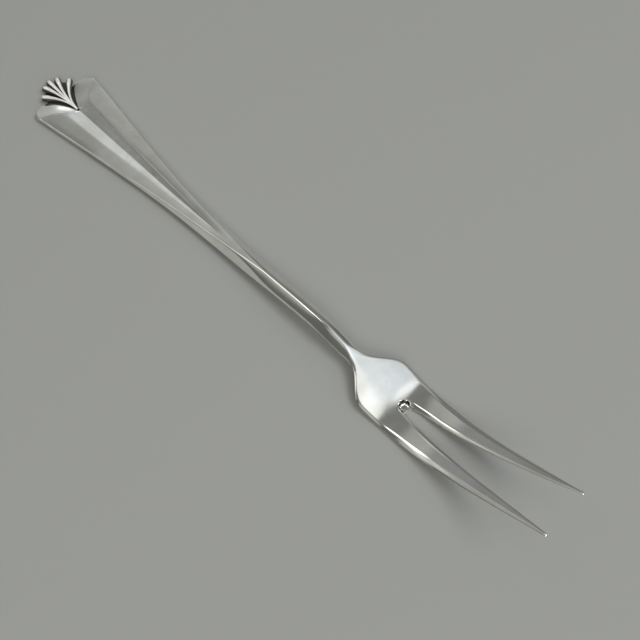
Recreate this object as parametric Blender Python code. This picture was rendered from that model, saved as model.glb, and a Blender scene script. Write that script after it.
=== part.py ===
"""Two-tined silver serving fork, lying face up, as a silversmith would make it from three pieces.

The handle is a forged bar with a flared, lobed end and a ridged stem. The head is a spade-shaped
plate with two curved tines, scarf-joined to the stem. A ribbed shell is set in a notch between the
lobes. +X points to the tines, +Z is up, and the origin is under the middle of the whole fork.

Lengthwise places are stations: millimetres from the corners of the flared end, towards the tines.
"""
import math

import bmesh
import bpy
import numpy as np

MM = 0.001

# Lengths along the fork, one after the other
GRIP_LENGTH = 21.0
TAPER_LENGTH = 19.0
STEM_LENGTH = 27.0
CREST_LENGTH = 14.0
NECK_LENGTH = 11.0
PLATE_LENGTH = 14.1
TINE_LENGTH = 37.4

# Full widths in plan
END_WIDTH = 16.8
GRIP_WIDTH = 10.7
WAIST_WIDTH = 6.3
STEM_WIDTH = 4.2
NECK_WIDTH = 3.2
HEAD_WIDTH = 13.3
SHOULDER_LENGTH = 11.0
TINE_SPREAD = 10.8
TINE_TIP_WIDTH = 0.45
SLOT_WIDTH = 2.6

# Heights of the front above the table
GRIP_HEIGHT = 2.0
WAIST_HEIGHT = 2.5
STEM_HEIGHT = 4.5
CREST_HEIGHT = 5.45
NECK_HEIGHT = 3.95
SHOULDER_HEIGHT = 2.7
TINE_BEND_HEIGHT = 3.7
TINE_RISE_HEIGHT = 9.5
TIP_HEIGHT = 16.3

# Thicknesses of the metal
END_THICKNESS = 1.45
WAIST_THICKNESS = 1.7
CREST_THICKNESS = 2.25
NECK_THICKNESS = 2.0
PLATE_THICKNESS = 1.5
TIP_THICKNESS = 0.7

# Front of the handle: flanks that close to a ridge, V groove and lobes
FLANK_ANGLE = math.radians(42.0)
EDGE_BEVEL = 0.32
EDGE_WALL = 0.3
RIDGE_WIDTH = 0.5
RIDGE_CLOSING = 31.0
RIDGE_SPLIT = 3.3
GROOVE_WIDTH = 6.6
GROOVE_LENGTH = 47.0
GROOVE_DEPTH = 0.55
LOBE_REACH = 1.9
LOBE_TIP_SPACING = 9.8
LOBE_TIP_FLAT = 1.2
LOBE_CORNER = 2.8
LOBE_DROP = 0.5
LOBE_ROLL = 5.0
END_LAND = 8.0
LAND_BLEND = 12.0

# Shell, and the two soldered joints
NOTCH_DEPTH = 5.4
SHELL_REACH = 6.5
SHELL_SIDE_REACH = 6.2
SHELL_ANGLE = math.radians(84.0)
SHELL_BASE = 0.7
SHELL_TONGUE = 3.4
FAN_CENTRE = 2.2
RIB_COUNT = 5
RIB_HEIGHT = 1.15
RIB_ROOT = 0.5
RIB_END_ROUND = 1.2
SCALLOP_DEPTH = 0.45
SOLDER_GAP = 0.3
SCARF_SLOPE = 1.1
SCARF_BLEND = 9.0

# Shares that set how curves are divided
TINE_BEND_SHARE = 0.36
TINE_RISE_SHARE = 0.69
SHOULDER_SHARE = 0.55
SLOT_STRAIGHT_SHARE = 0.64
RIB_ROOT_SHARE = 0.4
RIB_END_SHARE = 0.25
RIB_GROOVE_SHARE = 0.08
NOTCH_CURVE = 1.9
BEVEL_LIMIT = 0.85
CREASE_NEAREST = 0.35
CREASE_FARTHEST = 0.75
GROOVE_FULLNESS = 0.62
WALL_LIMIT = 0.4
BELLY_LIMIT = 0.5
BELLY_SLOPE = 1.4

# Facets
HANDLE_STEPS = 44
LOBE_STEPS = 9
PLATE_STEPS = 22
SLOT_STEPS = 6
TINE_STEPS = 24
SHELL_STEPS = 10
RIB_STEPS = 6
SHARP_ANGLE = math.radians(25.0)
SLOPE_STEP = 0.05
MERGE_DISTANCE = 0.01

# Stations that the lengths add up to
GRIP = GRIP_LENGTH
WAIST = GRIP + TAPER_LENGTH
STEM = WAIST + STEM_LENGTH
CREST = STEM + CREST_LENGTH
NECK = CREST + NECK_LENGTH
SLOT_END = NECK + PLATE_LENGTH
TIP = SLOT_END + TINE_LENGTH
MIDDLE = (TIP - SHELL_REACH) / 2

SILVER = (0.86, 0.86, 0.84, 1.0)
OXIDISED_SILVER = (0.62, 0.62, 0.60, 1.0)


def smooth_through(points):
    """Natural cubic spline through (station, value) points, as a function of the station."""
    knots = np.array([p[0] for p in points], float)
    values = np.array([p[1] for p in points], float)
    steps = np.diff(knots)
    rows = len(knots)
    matrix = np.eye(rows)
    right = np.zeros(rows)
    for i in range(1, rows - 1):
        matrix[i, i - 1:i + 2] = steps[i - 1], 2 * (steps[i - 1] + steps[i]), steps[i]
        right[i] = 6 * ((values[i + 1] - values[i]) / steps[i] - (values[i] - values[i - 1]) / steps[i - 1])
    bends = np.linalg.solve(matrix, right)

    def curve(station):
        i = int(np.clip(np.searchsorted(knots, station) - 1, 0, rows - 2))
        h = steps[i]
        before = (knots[i + 1] - station) / h
        after = 1 - before
        bend = (before ** 3 - before) * bends[i] + (after ** 3 - after) * bends[i + 1]
        return before * values[i] + after * values[i + 1] + bend * h * h / 6

    return curve


def ease(value):
    """Smooth step from 0 to 1 with soft ends."""
    t = min(max(value, 0.0), 1.0)
    return t * t * t * (t * (6 * t - 15) + 10)


def mix(start, end, share):
    return start + (end - start) * share


# The curves that shape the fork
handle_half_width = smooth_through([
    (0.0, END_WIDTH / 2), (GRIP, GRIP_WIDTH / 2), (WAIST, WAIST_WIDTH / 2),
    (STEM, STEM_WIDTH / 2), (NECK, NECK_WIDTH / 2)])
front_line = smooth_through([
    (-LOBE_REACH, END_THICKNESS), (GRIP, GRIP_HEIGHT), (WAIST, WAIST_HEIGHT),
    (STEM, STEM_HEIGHT), (CREST, CREST_HEIGHT), (NECK, NECK_HEIGHT),
    (mix(NECK, SLOT_END, SHOULDER_SHARE), SHOULDER_HEIGHT), (SLOT_END, PLATE_THICKNESS),
    (mix(SLOT_END, TIP, TINE_BEND_SHARE), TINE_BEND_HEIGHT),
    (mix(SLOT_END, TIP, TINE_RISE_SHARE), TINE_RISE_HEIGHT), (TIP, TIP_HEIGHT)])
thickness = smooth_through([
    (-LOBE_REACH, END_THICKNESS), (WAIST, WAIST_THICKNESS), (CREST, CREST_THICKNESS),
    (NECK, NECK_THICKNESS), (SLOT_END, PLATE_THICKNESS), (TIP, TIP_THICKNESS)])


def half_width(station):
    """Half the plan width: flared handle, stem, then the shoulders and sides of the head."""
    if station <= NECK:
        return handle_half_width(station)
    side_start = NECK + SHOULDER_LENGTH
    side = mix(HEAD_WIDTH, TINE_SPREAD, (station - side_start) / (TIP - side_start)) / 2
    return mix(NECK_WIDTH / 2, side, ease((station - NECK) / SHOULDER_LENGTH))


def slot_half_width(station):
    """Half the gap between the tines, with a round end; zero on the root plate."""
    radius = SLOT_WIDTH / 2
    along = station - SLOT_END
    if along <= 0:
        return 0.0
    if along < radius:
        return math.sqrt(radius * radius - (radius - along) ** 2)
    share = (along - radius) / (TINE_LENGTH - radius)
    at_tip = TINE_SPREAD / 2 - TINE_TIP_WIDTH
    return mix(radius, at_tip, mix(share * share, share, SLOT_STRAIGHT_SHARE))


def arris_half_width(station):
    """Half the width of the flat front between its two edge lines: all of it at the grip, a ridge
    on the stem, and all of it again on the root plate."""
    full = half_width(station) - EDGE_BEVEL
    closing = ease((station - WAIST) / RIDGE_CLOSING)
    opening = ease((station - NECK + RIDGE_SPLIT) / SHOULDER_LENGTH)
    return mix(full, RIDGE_WIDTH / 2, closing * (1 - opening))


def back_height(station):
    """Height of the middle of the back: flat on the table at the handle's end, and elsewhere the
    metal's thickness under the front."""
    rise = front_line(station + SLOPE_STEP) - front_line(station - SLOPE_STEP)
    slope = rise / (2 * SLOPE_STEP)
    back = front_line(station) - thickness(station) * math.hypot(1.0, slope)
    return max(back, 0.0) * ease((station - END_LAND) / LAND_BLEND)


def notch_half_width(station):
    """Half the notch that the shell is set in, from its point to the tips of the lobes."""
    share = (NOTCH_DEPTH - station) / (NOTCH_DEPTH + LOBE_REACH)
    mouth = (LOBE_TIP_SPACING - LOBE_TIP_FLAT) / 2
    return mouth * max(share, 0.0) ** NOTCH_CURVE


def lobe_half_width(station):
    """The outer edge of a lobe: an elliptical corner from the lobe's tip to the flared side."""
    start = (LOBE_TIP_SPACING + LOBE_TIP_FLAT) / 2
    left = 1 - min((station + LOBE_REACH) / LOBE_CORNER, 1.0)
    return mix(start, handle_half_width(max(station, 0.0)), math.sqrt(1 - left * left))


def groove_left(station):
    """Share of the V groove's length that is still ahead."""
    return 1 - min(max(station / GROOVE_LENGTH, 0.0), 1.0)


def section(station, inner, outer, scarf):
    """Half cross-section from the front middle round the edge to the back middle.

    scarf shears the section lengthwise by its height, so the last one lies in the sloping joint."""
    lobe_drop = LOBE_DROP * max(0.0, 1 - (station + LOBE_REACH) / LOBE_ROLL) ** 2
    front = front_line(station) - lobe_drop
    back = back_height(station)
    bevel = half_width(station) - arris_half_width(station)
    arris = outer - min(bevel, BEVEL_LIMIT * (outer - inner))
    groove = GROOVE_WIDTH / 2 * groove_left(station)
    crease = max(groove, mix(inner, arris, CREASE_NEAREST))
    crease = min(crease, mix(inner, arris, CREASE_FARTHEST))
    valley = front - GROOVE_DEPTH * (1 - (1 - groove_left(station)) ** 2)
    edge = front - (outer - arris) * math.tan(FLANK_ANGLE)
    lower = max(edge - EDGE_WALL, mix(back, edge, WALL_LIMIT))
    belly = outer - min(BELLY_LIMIT * (outer - inner), BELLY_SLOPE * (lower - back))
    swell = (mix(inner, crease, 0.5), mix(valley, front, GROOVE_FULLNESS))
    half = [
        (inner, valley), swell, (crease, front), (arris, front),
        (outer, edge), (outer, lower), (belly, back), (inner, back)]
    joint_height = NECK_HEIGHT - NECK_THICKNESS / 2
    return [(station + scarf * SCARF_SLOPE * (z - joint_height), y, z) for y, z in half]


def place(point):
    """A station, side and height in millimetres as a point of the scene in metres."""
    station, side, height = point
    return ((station - MIDDLE) * MM, side * MM, height * MM)


def polished(name, colour, roughness):
    material = bpy.data.materials.new(name)
    material.use_nodes = True
    shader = material.node_tree.nodes["Principled BSDF"]
    shader.inputs["Base Color"].default_value = colour
    shader.inputs["Metallic"].default_value = 1.0
    shader.inputs["Roughness"].default_value = roughness
    return material


def finish(name, mesh, material):
    """Makes the named object, with one face where it rests and all faces turned out."""
    bmesh.ops.remove_doubles(mesh, verts=mesh.verts, dist=MERGE_DISTANCE * MM)
    resting = [face for face in mesh.faces if all(vertex.co.z == 0 for vertex in face.verts)]
    bmesh.ops.dissolve_faces(mesh, faces=resting)
    bmesh.ops.recalc_face_normals(mesh, faces=mesh.faces)
    data = bpy.data.meshes.new(name)
    mesh.to_mesh(data)
    mesh.free()
    data.materials.append(material)
    data.shade_smooth()
    data.set_sharp_from_angle(angle=SHARP_ANGLE)
    part = bpy.data.objects.new(name, data)
    bpy.context.collection.objects.link(part)
    return part


def loft_half(rings):
    """Half body through half sections, closed at its ends and open only on the middle plane."""
    mesh = bmesh.new()
    rows = [[mesh.verts.new(place(point)) for point in ring] for ring in rings]
    for before, after in zip(rows, rows[1:]):
        for i in range(len(before) - 1):
            mesh.faces.new((before[i], before[i + 1], after[i + 1], after[i]))
        on_middle = before[0].co.y == 0 and after[0].co.y == 0
        if not on_middle:
            mesh.faces.new((before[-1], before[0], after[0], after[-1]))
    mesh.faces.new(rows[0])
    mesh.faces.new(rows[-1])
    return mesh


def mirror_across_middle(mesh):
    """Adds the other half and joins the two along the middle plane."""
    half = mesh.verts[:] + mesh.edges[:] + mesh.faces[:]
    bmesh.ops.mirror(mesh, geom=half, axis="Y", merge_dist=MERGE_DISTANCE * MM)
    return mesh


def handle_rings():
    """Sections from the lobes' tips to the scarf at the neck."""
    rings = []
    for i in range(LOBE_STEPS):
        station = mix(-LOBE_REACH, NOTCH_DEPTH, i / LOBE_STEPS)
        rings.append(section(station, notch_half_width(station), lobe_half_width(station), 0.0))
    end = NECK - SOLDER_GAP / 2
    for i in range(HANDLE_STEPS + 1):
        station = mix(NOTCH_DEPTH, end, i / HANDLE_STEPS)
        scarf = max(0.0, 1 - (end - station) / SCARF_BLEND)
        rings.append(section(station, 0.0, half_width(station), scarf))
    return rings


def head_rings():
    """Sections from the scarf at the neck to the tine's tip."""
    start = NECK + SOLDER_GAP / 2
    radius = SLOT_WIDTH / 2
    stations = [mix(start, SLOT_END, i / PLATE_STEPS) for i in range(PLATE_STEPS)]
    for i in range(SLOT_STEPS):
        stations.append(SLOT_END + radius * (1 - math.cos(math.pi / 2 * i / SLOT_STEPS)))
    for i in range(TINE_STEPS + 1):
        stations.append(mix(SLOT_END + radius, TIP, i / TINE_STEPS))
    rings = []
    for station in stations:
        scarf = max(0.0, 1 - (station - start) / SCARF_BLEND)
        rings.append(section(station, slot_half_width(station), half_width(station), scarf))
    return rings


def shell_rim(angle):
    """How far the shell reaches from the ribs' meeting point, longest along the middle."""
    share = angle / (SHELL_ANGLE / 2)
    return mix(FAN_CENTRE + SHELL_REACH, SHELL_SIDE_REACH, share * share)


def rib_point(angle, share):
    """A point on the front of the ribs: share runs from their meeting point to the rim."""
    rib = (angle / SHELL_ANGLE + 0.5) * RIB_COUNT
    crest = 0.5 - 0.5 * math.cos(2 * math.pi * rib)
    reach = shell_rim(angle) - SCALLOP_DEPTH * (1 - crest)
    radius = mix(RIB_ROOT, reach, share)
    from_rim = min((reach - radius) / RIB_END_ROUND, 1.0)
    rounding = math.sqrt(max(1 - (1 - from_rim) ** 2, 0.0))
    height = RIB_HEIGHT * mix(RIB_ROOT_SHARE, 1.0, share) * mix(RIB_GROOVE_SHARE, 1.0, crest)
    z = SHELL_BASE + height * mix(RIB_END_SHARE, 1.0, rounding)
    return (FAN_CENTRE - radius * math.cos(angle), radius * math.sin(angle), z)


def close_below(mesh, height):
    """Drops a wall from the rim of an open sheet to a flat face at the given height."""
    rim = [edge for edge in mesh.edges if edge.is_boundary]
    wall = bmesh.ops.extrude_edge_only(mesh, edges=rim)["geom"]
    for item in wall:
        if isinstance(item, bmesh.types.BMVert):
            item.co.z = height * MM
    foot = [item for item in wall if isinstance(item, bmesh.types.BMEdge) and item.is_boundary]
    bmesh.ops.edgeloop_fill(mesh, edges=foot)
    return mesh


def rib_mesh():
    """The fan of ribs, sunk a little way into the plate that carries it."""
    mesh = bmesh.new()
    columns = RIB_COUNT * RIB_STEPS
    angles = [SHELL_ANGLE * (k / columns - 0.5) for k in range(columns + 1)]
    rows = []
    for i in range(SHELL_STEPS + 1):
        rows.append([mesh.verts.new(place(rib_point(angle, i / SHELL_STEPS))) for angle in angles])
    for before, after in zip(rows, rows[1:]):
        for k in range(columns):
            mesh.faces.new((before[k], before[k + 1], after[k + 1], after[k]))
    return close_below(mesh, SHELL_BASE / 2)


def shell_plate_mesh():
    """The plate under the ribs: it fills the notch with room for solder, and follows the rim."""
    side = []
    for i in range(SHELL_STEPS + 1):
        station = mix(SHELL_TONGUE, -LOBE_REACH, i / SHELL_STEPS)
        side.append((station, notch_half_width(station) - SOLDER_GAP))
    widest = math.atan2(side[-1][1], FAN_CENTRE - side[-1][0])
    for i in range(1, SHELL_STEPS + 1):
        angle = SHELL_ANGLE / 2 * (1 - i / SHELL_STEPS)
        radius = shell_rim(angle) - SCALLOP_DEPTH - EDGE_BEVEL
        if angle < widest:
            side.append((FAN_CENTRE - radius * math.cos(angle), radius * math.sin(angle)))
    outline = side + [(station, -y) for station, y in side[-2::-1]]
    mesh = bmesh.new()
    mesh.faces.new([mesh.verts.new(place((station, y, SHELL_BASE))) for station, y in outline])
    return close_below(mesh, 0.0)


def join_ribs(shell, ribs):
    """Fuses the ribs with their plate, as they are cast in one with it."""
    union = shell.modifiers.new("cast_in_one", "BOOLEAN")
    union.operation = "UNION"
    union.object = ribs
    ribs.hide_render = True
    ribs.display_type = "WIRE"


def main():
    for existing in list(bpy.data.objects):
        bpy.data.objects.remove(existing)
    silver = polished("polished_silver", SILVER, 0.16)
    oxidised = polished("oxidised_silver", OXIDISED_SILVER, 0.28)
    finish("handle", mirror_across_middle(loft_half(handle_rings())), silver)
    finish("fork_head", mirror_across_middle(loft_half(head_rings())), silver)
    shell = finish("shell_finial", shell_plate_mesh(), oxidised)
    join_ribs(shell, finish("shell_ribs", rib_mesh(), oxidised))


main()
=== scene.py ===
# %% [markdown]
# # A small silver serving fork
# The fork has three pieces: a forged handle with a lobed end, a head with two curved tines, and a cast
# shell set between the lobes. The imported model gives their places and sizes. This script gives them the
# fine shape and the polish that the eye sees, because a mirror shows every facet of a coarse solid.

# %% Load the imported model
import math

import bmesh
import bpy
import numpy as np
from mathutils import Matrix, Vector


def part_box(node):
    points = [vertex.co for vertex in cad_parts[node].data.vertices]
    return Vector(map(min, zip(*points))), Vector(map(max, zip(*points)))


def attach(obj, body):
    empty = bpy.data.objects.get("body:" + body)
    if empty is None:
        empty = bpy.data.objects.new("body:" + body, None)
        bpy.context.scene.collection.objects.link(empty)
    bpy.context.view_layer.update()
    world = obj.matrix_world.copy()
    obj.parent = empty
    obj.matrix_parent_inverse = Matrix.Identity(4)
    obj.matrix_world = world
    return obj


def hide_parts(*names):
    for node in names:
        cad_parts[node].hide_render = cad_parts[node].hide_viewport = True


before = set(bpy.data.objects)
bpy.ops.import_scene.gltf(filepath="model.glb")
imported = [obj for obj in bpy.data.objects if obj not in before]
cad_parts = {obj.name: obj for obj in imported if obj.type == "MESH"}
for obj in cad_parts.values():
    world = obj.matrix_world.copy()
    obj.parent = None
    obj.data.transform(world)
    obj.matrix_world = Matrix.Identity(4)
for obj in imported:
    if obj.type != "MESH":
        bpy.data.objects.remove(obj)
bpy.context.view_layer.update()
MM = 0.001

# %% [markdown]
# ## The camera
# The photograph looks down steeply on the fork, which lies from the upper left to the lower right. A
# camera can be given a place and three turns, but those numbers tell a reader little. So the view is
# stored as a photographer would say it: what the lens points at, from how far, from which heading and
# how steeply. Standing only 20 cm away gives the mild narrowing towards the handle's end.

# %% Camera
IMAGE_SIZE = 640
LOOK_AT = Vector((13.31, 1.96, 0.0)) * MM
DISTANCE = 199.76 * MM
VIEW_HEADING = 134.05
VIEW_STEEPNESS = 63.5
ROLL = math.radians(1.27)
FOCAL_PIXELS = 964.9
NEAR_LIMIT = 1 * MM


def direction(heading, height):
    """A unit vector towards a heading and a height above the horizon, both in degrees."""
    level = math.cos(math.radians(height))
    return Vector((level * math.cos(math.radians(heading)),
                   level * math.sin(math.radians(heading)),
                   math.sin(math.radians(height))))


view = direction(VIEW_HEADING, -VIEW_STEEPNESS)
lens = bpy.data.cameras.new("photo_camera")
lens.lens = lens.sensor_width * FOCAL_PIXELS / IMAGE_SIZE
lens.clip_start = NEAR_LIMIT
camera = bpy.data.objects.new("photo_camera", lens)
bpy.context.collection.objects.link(camera)
turn = view.to_track_quat("-Z", "Y").to_matrix().to_4x4() @ Matrix.Rotation(ROLL, 4, "Z")
camera.matrix_world = Matrix.Translation(LOOK_AT - view * DISTANCE) @ turn
bpy.context.scene.camera = camera
bpy.context.scene.view_settings.view_transform = "Standard"
print("camera at", [round(c, 4) for c in camera.matrix_world.translation], "lens", round(lens.lens, 2))

# %% [markdown]
# ## Two helpers for shaders
# Colours are written as sRGB hex values, as a colour picker shows them, and Blender wants linear light,
# so one function converts them. A second one adds a node, sets it and links it in a single call, which
# keeps each material readable.


# %% Colour and node helpers
def linear(hex_colour):
    """An sRGB hex value as a linear colour with alpha."""
    channels = []
    for start in (0, 2, 4):
        value = int(hex_colour[start:start + 2], 16) / 255
        channels.append(value / 12.92 if value <= 0.04045 else ((value + 0.055) / 1.055) ** 2.4)
    return (*channels, 1.0)


def add_node(tree, kind, inputs=None, **settings):
    """Adds a node. An input that is a socket is linked, any other value is set."""
    node = tree.nodes.new(kind)
    for name, value in settings.items():
        setattr(node, name, value)
    for name, value in (inputs or {}).items():
        if isinstance(value, bpy.types.NodeSocket):
            tree.links.new(value, node.inputs[name])
        else:
            node.inputs[name].default_value = value
    return node


print("middle grey 808080 is", round(linear("808080")[0], 3), "of full light")

# %% [markdown]
# ## The floor
# The fork lies on a pale matt surface that takes its shadow. A curved backdrop is common in a studio,
# but the view is so steep that one large plane fills it. It lies a hair below the fork, because two
# faces at one height would flicker.

# %% Floor
FLOOR_COLOUR = "9fa09c"
FLOOR_SIZE = 4.0
FLOOR_GAP = 0.02 * MM
FLOOR_ROUGHNESS = 0.9
FLOOR_GLOSS = 0.2

bpy.ops.mesh.primitive_plane_add(size=FLOOR_SIZE, location=(0, 0, -FLOOR_GAP))
floor = bpy.context.object
floor.name = "pale_floor"
floor_finish = bpy.data.materials.new("matt_pale_floor")
floor_finish.use_nodes = True
floor_shader = floor_finish.node_tree.nodes["Principled BSDF"]
floor_shader.inputs["Base Color"].default_value = linear(FLOOR_COLOUR)
floor_shader.inputs["Roughness"].default_value = FLOOR_ROUGHNESS
floor_shader.inputs["Specular IOR Level"].default_value = FLOOR_GLOSS
floor.data.materials.append(floor_finish)
print("floor:", floor.name, FLOOR_SIZE, "m wide, colour", FLOOR_COLOUR)

# %% [markdown]
# ## The light
# Polished silver has almost no colour of its own: it shows the room, so the room matters as much as the
# metal. A panorama of a real room could be wrapped round the scene, but then no single reflection could
# be moved. So the sky is a dim studio with soft round patches of light painted on it, and each stands
# where one facet mirrors it: a bluish ceiling with a bright rim for the root of the tines, a window for
# the groove and a glow for the panels beside it, lamps on the near side for the ridge and the tines, and
# low lights on the horizon for the rims and the lower edge.

# %% Sky with soft patches of light
SKY_BASE = 0.125
DAYLIGHT = "f6f8ff"
LAMPLIGHT = "fffef8"
CEILING_BLUE = "e9f1ff"
SKY_PATCHES = {
    # name: (heading, height, full inside this angle, gone at this angle, strength, colour)
    "overhead": (150, 72, 22, 40, 0.07, DAYLIGHT),
    "ceiling": (62, 54, 18.5, 21.5, 0.46, CEILING_BLUE),
    "ceiling_rim": (45, 79, 5, 9, 0.6, LAMPLIGHT),
    "ceiling_edge": (88, 68, 4, 6.5, 0.45, LAMPLIGHT),
    "right_wall": (86, 33, 16, 28, 0.24, DAYLIGHT),
    "grip_glow": (143, 50, 6, 12, 0.175, LAMPLIGHT),
    "window": (134, 37, 8, 12.5, 0.38, DAYLIGHT),
    "far_wall": (168, 26, 14, 24, 0.085, DAYLIGHT),
    "end_low": (168, 4, 6, 14, 0.7, LAMPLIGHT),
    "lobe_glow": (173, 40, 6, 12, 0.1, DAYLIGHT),
    "tine_wall": (150, 37, 7, 16, 0.05, DAYLIGHT),
    "near_lamp": (203, 57, 7, 13, 1.4, LAMPLIGHT),
    "tine_lamp": (210, 43, 7, 13, 0.3, LAMPLIGHT),
    "ridge_lamp": (186, 70, 6, 11, 2.0, LAMPLIGHT),
    "near_lamp_low": (227, 43, 6, 13, 0.3, LAMPLIGHT),
    "root_lamp": (278, 56, 7, 13, 0.3, LAMPLIGHT),
    "tine_side": (198, 31, 8, 16, 0.22, LAMPLIGHT),
    "tine_low": (125, 11, 20, 30, 0.06, DAYLIGHT),
    "near_horizon": (246, 5, 8, 18, 0.26, LAMPLIGHT),
    "open_side": (0, 42, 20, 55, 0.5, DAYLIGHT),
}

sky = bpy.data.worlds.new("soft_studio")
bpy.context.scene.world = sky
sky.use_nodes = True
sky_tree = sky.node_tree
looking = add_node(sky_tree, "ShaderNodeTexCoord").outputs["Generated"]
light = tuple(SKY_BASE * channel for channel in linear(LAMPLIGHT)[:3])
for heading, height, inside, gone, strength, colour in SKY_PATCHES.values():
    nearness = add_node(sky_tree, "ShaderNodeVectorMath", {
        0: looking, 1: direction(heading, height)}, operation="DOT_PRODUCT")
    patch = add_node(sky_tree, "ShaderNodeMapRange", {
        "Value": nearness.outputs["Value"],
        "From Min": math.cos(math.radians(gone)),
        "From Max": math.cos(math.radians(inside)),
        "To Max": strength}, interpolation_type="SMOOTHSTEP")
    tinted = add_node(sky_tree, "ShaderNodeVectorMath", {
        0: linear(colour)[:3], "Scale": patch.outputs["Result"]}, operation="SCALE")
    light = add_node(sky_tree, "ShaderNodeVectorMath", {
        0: light, 1: tinted.outputs["Vector"]}, operation="ADD").outputs["Vector"]
sky_tree.links.new(light, sky_tree.nodes["Background"].inputs["Color"])
print("sky patches:", ", ".join(SKY_PATCHES))

# %% [markdown]
# A sky alone gives the floor hardly any shadow. So two large softboxes light the floor and draw the
# fork's soft shadow. A card and a faint glow stand close to the handle's end: both are small and near,
# so only the lobes and the shell mirror them.

# %% Lamps
LAMPS = {
    # name: (heading, height, distance in m, size in m, power in W, the x in m that it stands round)
    "key_softbox": (22, 60, 1.2, 0.5, 4.7, 0.0),
    "near_softbox": (315, 42, 1.2, 0.6, 3.0, 0.0),
    "end_card": (148, 28, 0.25, 0.056, 0.0064, -0.07),
    "end_glow": (155, 25, 0.25, 0.1, 0.0048, -0.07),
}

for name, (heading, height, distance, size, power, stand) in LAMPS.items():
    lamp = bpy.data.lights.new(name, "AREA")
    lamp.shape = "DISK"
    lamp.size = size
    lamp.energy = power
    lamp_object = bpy.data.objects.new(name, lamp)
    bpy.context.collection.objects.link(lamp_object)
    from_lamp = -direction(heading, height)
    lamp_object.location = Vector((stand, 0.0, 0.0)) - from_lamp * distance
    lamp_object.rotation_euler = from_lamp.to_track_quat("-Z", "Y").to_euler()
    print(name, power, "W at", [round(c, 3) for c in lamp_object.location])

# %% [markdown]
# ## The silver
# Sterling silver, forged, filed and hand polished. It is the most reflective metal, faintly warm. Years
# of use leave a haze of fine scratches and a breath of yellow-grey tarnish where the cloth seldom goes.
# One colour and one roughness would do for a new fork. Here noise varies both, on Object coordinates, so
# the patches keep their size in millimetres on every piece.

# %% Polished silver: tint
# Hand polishing leaves almost a full mirror, which the eye reads by the room in it. It is a little
# greyer in the patches that the cloth has missed.
BRIGHT_SILVER = "f3f5f0"
DULL_SILVER = "e6e7e0"
TARNISH_PATCH = 7 * MM
TARNISH_STOPS = (0.32, 0.62)

silver = bpy.data.materials.new("hand_polished_silver")
silver.use_nodes = True
silver_tree = silver.node_tree
silver_shader = silver_tree.nodes["Principled BSDF"]
silver_shader.inputs["Metallic"].default_value = 1.0
silver_place = add_node(silver_tree, "ShaderNodeTexCoord").outputs["Object"]
tarnish = add_node(silver_tree, "ShaderNodeTexNoise", {
    "Vector": silver_place, "Scale": 1 / TARNISH_PATCH, "Detail": 5.0, "Roughness": 0.6})
tint = add_node(silver_tree, "ShaderNodeValToRGB", {"Fac": tarnish.outputs["Fac"]})
for stop, position, shade in zip(tint.color_ramp.elements, TARNISH_STOPS, (DULL_SILVER, BRIGHT_SILVER)):
    stop.position = position
    stop.color = linear(shade)
print("material:", silver.name, "with tarnish patches of", TARNISH_PATCH, "m")

# %% [markdown]
# The wall at the round end of the slot between the tines lies deep in shade, so a ring of painted shade
# darkens the silver there, with a crescent left bright inside it and a lighter painted shade in the
# middle.
# It could be painted as an image, but a distance from the slot's middle draws it with no picture at all.
# The back is left out, and so is the slot's open side.

# %% Polished silver: painted shade in the slot
# The ring's stops are a share of the slot's radius and how much painted shade darkens the silver there.
SLOT_SHADE_BROWN = "4f4d47"
SLOT_SHADE_RING = ((0.0, 0.6), (0.4, 0.55), (0.5, 0.0), (0.62, 0.0), (0.7, 1.0), (0.94, 1.0), (0.99, 0.0))
SLOT_HALF_WIDTH = 1.3
SLOT_RADIUS = SLOT_HALF_WIDTH * MM
SLOT_CENTRE = (38.9 * MM, 0.0, 0.0)
SLOT_FLOOR = 0.3 * MM
RING_FULL = 0.1 * SLOT_RADIUS
RING_GONE = 0.5 * SLOT_RADIUS

from_slot = add_node(silver_tree, "ShaderNodeVectorMath", {
    0: silver_place, 1: SLOT_CENTRE}, operation="SUBTRACT").outputs["Vector"]
in_plan = add_node(silver_tree, "ShaderNodeVectorMath", {
    0: from_slot, 1: (1 / SLOT_RADIUS, 1 / SLOT_RADIUS, 0.0)}, operation="MULTIPLY")
slot_distance = add_node(silver_tree, "ShaderNodeVectorMath", {
    0: in_plan.outputs["Vector"]}, operation="LENGTH")
slot_shade_ramp = add_node(silver_tree, "ShaderNodeValToRGB", {"Fac": slot_distance.outputs["Value"]})
while len(slot_shade_ramp.color_ramp.elements) < len(SLOT_SHADE_RING):
    slot_shade_ramp.color_ramp.elements.new(1.0)
for stop, (share, amount) in zip(slot_shade_ramp.color_ramp.elements, SLOT_SHADE_RING):
    stop.position = share
    stop.color = (amount, amount, amount, 1.0)
away = add_node(silver_tree, "ShaderNodeSeparateXYZ", {"Vector": from_slot})
above_back = add_node(silver_tree, "ShaderNodeMath", {
    0: away.outputs["Z"], 1: SLOT_FLOOR}, operation="GREATER_THAN")
rootward = add_node(silver_tree, "ShaderNodeMapRange", {
    "Value": away.outputs["X"], "From Min": RING_GONE, "From Max": RING_FULL})
at_end = add_node(silver_tree, "ShaderNodeMath", {
    0: above_back.outputs[0], 1: rootward.outputs["Result"]}, operation="MULTIPLY")
darkness = add_node(silver_tree, "ShaderNodeMath", {
    0: slot_shade_ramp.outputs["Color"], 1: at_end.outputs[0]}, operation="MULTIPLY")
# The random tint is mixed here with the painted shade at the slot's end.
silver_colour = add_node(silver_tree, "ShaderNodeMix", {
    "Factor": darkness.outputs[0], "A": tint.outputs["Color"],
    "B": linear(SLOT_SHADE_BROWN)}, data_type="RGBA")
silver_tree.links.new(silver_colour.outputs["Result"], silver_shader.inputs["Base Color"])
print("painted slot shade ring of", len(SLOT_SHADE_RING), "stops, radius", SLOT_HALF_WIDTH, "mm")

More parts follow.
